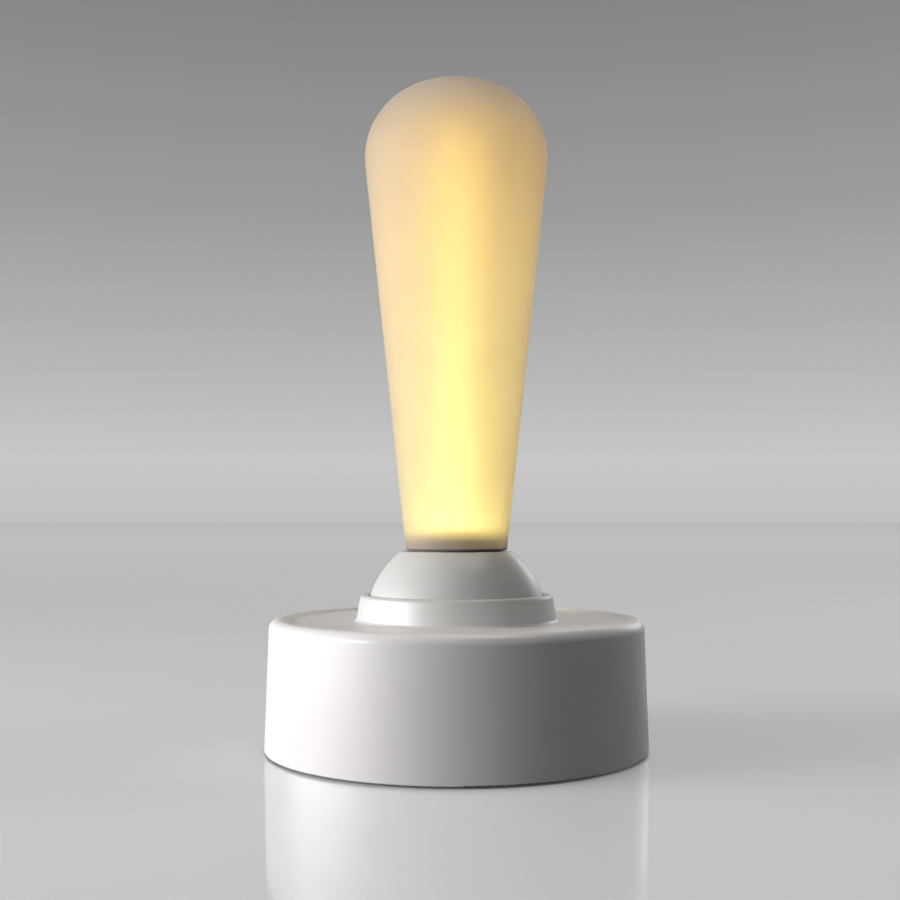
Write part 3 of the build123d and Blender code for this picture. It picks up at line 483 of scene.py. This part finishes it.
def dress_nodes():
    """Gives each node the material of its slot. The ball and its collar get a greyer copy of the base's white:
    painted shade, for the less light that falls on them.
    """
    for subpart in frame["record"]["subparts"]:
        mesh = nodes[subpart["node"]].data
        mesh.materials.clear()
        mesh.materials.append(materials[subpart["material_slot"]])
    for node in ("ball_dome", "collar_ring"):
        nodes[node].data.materials[0] = materials["shaded_ball_gloss"]


def add_object(name, data):
    """A new object in the scene."""
    made = bpy.data.objects.new(name, data)
    bpy.context.scene.collection.objects.link(made)
    return made


def add_piece(name, fill, *finishes):
    """A new piece whose mesh a function fills, with one or more of the materials."""
    mesh = bpy.data.meshes.new(name)
    shape = bmesh.new()
    fill(shape)
    shape.to_mesh(mesh)
    shape.free()
    for finish in finishes:
        mesh.materials.append(materials[finish])
    return add_object(name, mesh)


def lathe(shape, outline):
    """Turns a closed outline of (radius, height) points round Z. A point on the axis becomes one vertex."""
    turns = [2 * math.pi * step / ROUND_STEPS for step in range(ROUND_STEPS)]
    rings = []
    for radius, height in outline:
        if radius <= 0:
            rings.append([shape.verts.new((0, 0, height))])
            continue
        rings.append([shape.verts.new((radius * math.cos(t), radius * math.sin(t), height)) for t in turns])
    for ring, following in zip(rings, rings[1:] + rings[:1]):
        if len(ring) == 1 and len(following) == 1:
            continue
        for step in range(ROUND_STEPS):
            beside = (step + 1) % ROUND_STEPS
            corners = [ring[step % len(ring)], ring[beside % len(ring)]]
            corners += [following[beside % len(following)], following[step % len(following)]]
            face = shape.faces.new(list(dict.fromkeys(corners)))
            face.smooth = True
    bmesh.ops.recalc_face_normals(shape, faces=shape.faces)


def point_at(centre, radius, turn):
    """The point of a circle at a turn, as (radius, height)."""
    return centre[0] + radius * math.cos(turn), centre[1] + radius * math.sin(turn)


def arc(centre, radius, start, end, steps):
    """Points along an arc, with its start and without its end."""
    return [point_at(centre, radius, start + (end - start) * step / steps) for step in range(steps)]


def line(start, end, steps):
    """Points along a straight line, with its start and without its end."""
    shares = [step / steps for step in range(steps)]
    return [tuple(a + (b - a) * share for a, b in zip(start, end)) for share in shares]


def sleeve_outline(low, high):
    """The sleeve's section: round lip, straight side, shoulder and crown, and the same again inside."""
    crown = (0, high.z - SLEEVE_CROWN_ROUND)
    aside = (high.x - low.x) / 2 - SLEEVE_SHOULDER_ROUND
    rise = math.sqrt((SLEEVE_CROWN_ROUND - SLEEVE_SHOULDER_ROUND) ** 2 - aside**2)
    shoulder = (aside, crown[1] + rise)
    shoulder_end = math.atan2(rise, aside)
    reach = SLEEVE_FOOT_R - aside
    drop = shoulder[1] - low.z
    slope = math.atan2(-drop, reach) + math.acos(SLEEVE_SHOULDER_ROUND / math.hypot(drop, reach))
    lip = (SLEEVE_FOOT_R - SLEEVE_LIP_ROUND, low.z + SLEEVE_LIP_ROUND)

    def over_the_top(inset):
        """The shoulder and the crown, at the outside or further in."""
        side = arc(shoulder, SLEEVE_SHOULDER_ROUND - inset, slope, shoulder_end, SLEEVE_SHOULDER_STEPS)
        return side + arc(crown, SLEEVE_CROWN_ROUND - inset, shoulder_end, math.pi / 2, SLEEVE_CROWN_STEPS)

    side_end = point_at(shoulder, SLEEVE_SHOULDER_ROUND, slope)
    points = arc(lip, SLEEVE_LIP_ROUND, -math.pi / 2, 0, SLEEVE_LIP_STEPS)
    points += line((SLEEVE_FOOT_R, lip[1]), side_end, SLEEVE_SIDE_STEPS)
    points += over_the_top(inset=0)
    points += [(0, high.z), (0, high.z - SLEEVE_WALL)]
    points += reversed(over_the_top(inset=SLEEVE_WALL))
    points.append((SLEEVE_FOOT_R - SLEEVE_WALL / math.cos(slope), low.z))
    return points


def make_sleeve():
    """The silicone sleeve: its outside, its brighter inside and its lip, painted dark as the shadow in the gap
    under its foot.
    """
    low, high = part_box("silicone_shade")
    middle = (low + high) / 2
    outline = sleeve_outline(low, high)
    finishes = ("silicone", "silicone_inside", "silicone_lip_shadow")
    sleeve = add_piece("frosted_sleeve", lambda shape: lathe(shape, outline), *finishes)
    for face in sleeve.data.polygons:
        # The lip's faces take the painted shadow
        if face.center.z < low.z + SLEEVE_LIP_ROUND:
            face.material_index = finishes.index("silicone_lip_shadow")
        elif face.normal.dot(face.center - middle) < 0:
            face.material_index = finishes.index("silicone_inside")
    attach(sleeve, "lever")
    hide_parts("silicone_shade")


def foot_outline():
    """The rubber foot's section: bevelled edges, and grooves in the face that it stands on."""
    low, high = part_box("foot_ring")
    inner_r = min(math.hypot(v.co.x, v.co.y) for v in nodes["foot_ring"].data.vertices)
    outer_r = high.x
    points = [(inner_r, high.z), (inner_r, low.z + FOOT_BEVEL), (inner_r + FOOT_BEVEL, low.z)]
    gap = (outer_r - inner_r) / (FOOT_GROOVE_COUNT + 1)
    for step in range(FOOT_GROOVE_COUNT):
        middle = inner_r + gap * (step + 1)
        points.append((middle - FOOT_GROOVE_W / 2, low.z))
        points.append((middle, low.z + FOOT_GROOVE_DEPTH))
        points.append((middle + FOOT_GROOVE_W / 2, low.z))
    points += [(outer_r - FOOT_BEVEL, low.z), (outer_r, low.z + FOOT_BEVEL), (outer_r, high.z)]
    return points


def make_foot():
    """The rubber ring that the light stands on."""
    foot = add_piece("rubber_foot", lambda shape: lathe(shape, foot_outline()), "foot_rubber")
    foot.data.set_sharp_from_angle(angle=FOOT_CREASE)
    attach(foot, "base")
    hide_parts("foot_ring")


def fill_contacts(shape):
    """Two rows of flat contacts, on top of the tongue and under it."""
    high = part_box("usb_tongue")[1]
    tip = [v.co.z for v in nodes["usb_tongue"].data.vertices if v.co.y > high.y - TONGUE_TIP_L]
    middle_y = high.y - CONTACT_SETBACK - CONTACT_L / 2
    for side, face_z in ((-1, min(tip)), (1, max(tip))):
        for step in range(CONTACT_COUNT):
            middle_x = (step - (CONTACT_COUNT - 1) / 2) * CONTACT_PITCH
            for vert in bmesh.ops.create_cube(shape, size=1)["verts"]:
                vert.co.x = middle_x + vert.co.x * CONTACT_W
                vert.co.y = middle_y + vert.co.y * CONTACT_L
                vert.co.z = face_z + side * CONTACT_T / 2 + vert.co.z * CONTACT_T


def make_contacts():
    """The inlet's gold contacts."""
    contacts = add_piece("usb_contacts", fill_contacts, "contact_gold")
    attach(contacts, "base")


def make_lead(colour):
    """A lead to the LED board: left whole at its foot, and cut into rings from there up to the axle."""
    node = "led_lead_" + colour
    slot = "lead_" + colour
    still_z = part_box(node)[0].z + LEAD_STILL_L
    axle_z = next(joint["pos_m"][2] for joint in frame["joints"] if joint["name"] == "stem_rock")

    def fill(shape):
        """The lead's own solid, cut across at even heights up to the axle."""
        shape.from_mesh(nodes[node].data)
        for step in range(LEAD_RING_COUNT):
            height = still_z + (axle_z - still_z) * step / LEAD_RING_COUNT
            parts = [*shape.verts, *shape.edges, *shape.faces]
            bmesh.ops.bisect_plane(shape, geom=parts, plane_co=(0, 0, height), plane_no=(0, 0, 1))

    lead = add_piece("flexing_lead_" + colour, fill, slot)
    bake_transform(lead)
    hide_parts(node)


def make_floor():
    """A wide pale floor with a soft mirror gloss. It throws no soft light back on the object."""
    mesh = bpy.data.meshes.new("floor")
    corners = [(x * FLOOR_HALF, y * FLOOR_HALF, 0) for x, y in ((-1, -1), (1, -1), (1, 1), (-1, 1))]
    mesh.from_pydata(corners, [], [range(len(corners))])
    material, _, shader = mottled("floor", FLOOR)
    set_inputs(shader, {"IOR": PLASTIC_IOR, "Emission Color": rgba(WHITE), "Emission Strength": FLOOR_GLOW})
    mesh.materials.append(material)
    floor = add_object("floor", mesh)
    floor.visible_diffuse = False
    return floor


def make_world():
    """A plain grey studio, pale at the horizon and darker above. It throws no soft light on the object."""
    world = bpy.data.worlds.new("studio")
    bpy.context.scene.world = world
    world.use_nodes = True
    world.cycles_visibility.diffuse = False
    tree = world.node_tree
    direction = tree.nodes.new("ShaderNodeTexCoord").outputs["Generated"]
    greys = [(height, (grey, grey, grey)) for height, grey in HORIZON_STOPS]
    shade = ramp(tree, split_axes(tree, direction)["Z"], greys)
    tree.links.new(shade, tree.nodes["Background"].inputs["Color"])


def fade_edges(tree):
    """A soft box is brightest in the middle and fades to nothing at its edges."""
    place = split_axes(tree, tree.nodes.new("ShaderNodeNewGeometry").outputs["Parametric"])
    shares = []
    for axis in ("X", "Y"):
        away = calculate(tree, "ABSOLUTE", calculate(tree, "SUBTRACT", place[axis], LAMP_MIDDLE_SHARE))
        shares.append(remap(tree, away, LAMP_EDGE_SHARE, LAMP_CORE_SHARE, easing="SMOOTHSTEP"))
    strength = calculate(tree, "MULTIPLY", *shares)
    tree.links.new(strength, tree.nodes["Emission"].inputs["Strength"])


def make_lamp(lamp):
    """A soft box, aimed at a point, that the camera doesn't see."""
    light = bpy.data.lights.new(lamp.name, "AREA")
    light.shape = "RECTANGLE"
    light.energy = lamp.watts
    light.size, light.size_y = lamp.size
    light.spread = lamp.beam
    light.use_nodes = True
    fade_edges(light.node_tree)
    box = add_object(lamp.name, light)
    box.location = lamp.place
    box.rotation_euler = (Vector(lamp.aim) - Vector(lamp.place)).to_track_quat("-Z", "Y").to_euler()
    box.visible_camera = False
    return box


def link_floor(box, floor, state):
    """Lights the floor alone (INCLUDE) or all but the floor (EXCLUDE) with a soft box."""
    receivers = bpy.data.collections.new(box.name)
    receivers.objects.link(floor)
    box.light_linking.receiver_collection = receivers
    receivers.collection_objects[0].light_linking.link_state = state


def make_lamps(floor):
    """Lamps for all, for all but the floor, and for the floor alone, where they leave no highlight."""
    for lamp in (TOP, FILL):
        make_lamp(lamp)
    for lamp in (KEY, BACK, RIM):
        link_floor(make_lamp(lamp), floor, "EXCLUDE")
    for lamp in (FLOOR_KEY, WASH, SIDE):
        box = make_lamp(lamp)
        box.visible_glossy = False
        link_floor(box, floor, "INCLUDE")


def make_camera():
    """The camera that takes the main picture."""
    data = bpy.data.cameras.new("camera")
    data.sensor_width = SENSOR_WIDTH
    data.lens = CAMERA_LENS
    data.clip_start = CLIP_START
    data.clip_end = CLIP_END
    camera = add_object("camera", data)
    camera.location = (CAMERA_SIDE, -CAMERA_DISTANCE, CAMERA_HEIGHT)
    camera.rotation_euler = (math.pi / 2 + CAMERA_TILT, 0, 0)
    bpy.context.scene.camera = camera


materials = {
    "silicone": silicone("silicone", SLEEVE_OUTER_GLOW),
    "silicone_inside": silicone("silicone_inside", SLEEVE_INNER_GLOW),
    "clear_acrylic": clear_rod(),
    "led_phosphor": led_phosphor(),
    "board_green": circuit_board(),
    "white_gloss": gloss_plastic("white_gloss", WHITE_GLOSS),
    "shaded_ball_gloss": gloss_plastic("shaded_ball_gloss", SHADED_BALL_GLOSS),
    **{name: metal(name, surface) for name, surface in METALS.items()},
    **{name: plain(name, surface) for name, surface in PLAIN_SURFACES.items()},
}
dress_nodes()
make_sleeve()
make_foot()
make_contacts()
for colour in ("red", "black"):
    make_lead(colour)
floor = make_floor()
make_world()
make_lamps(floor)
make_camera()
bpy.context.scene.view_settings.view_transform = "Standard"
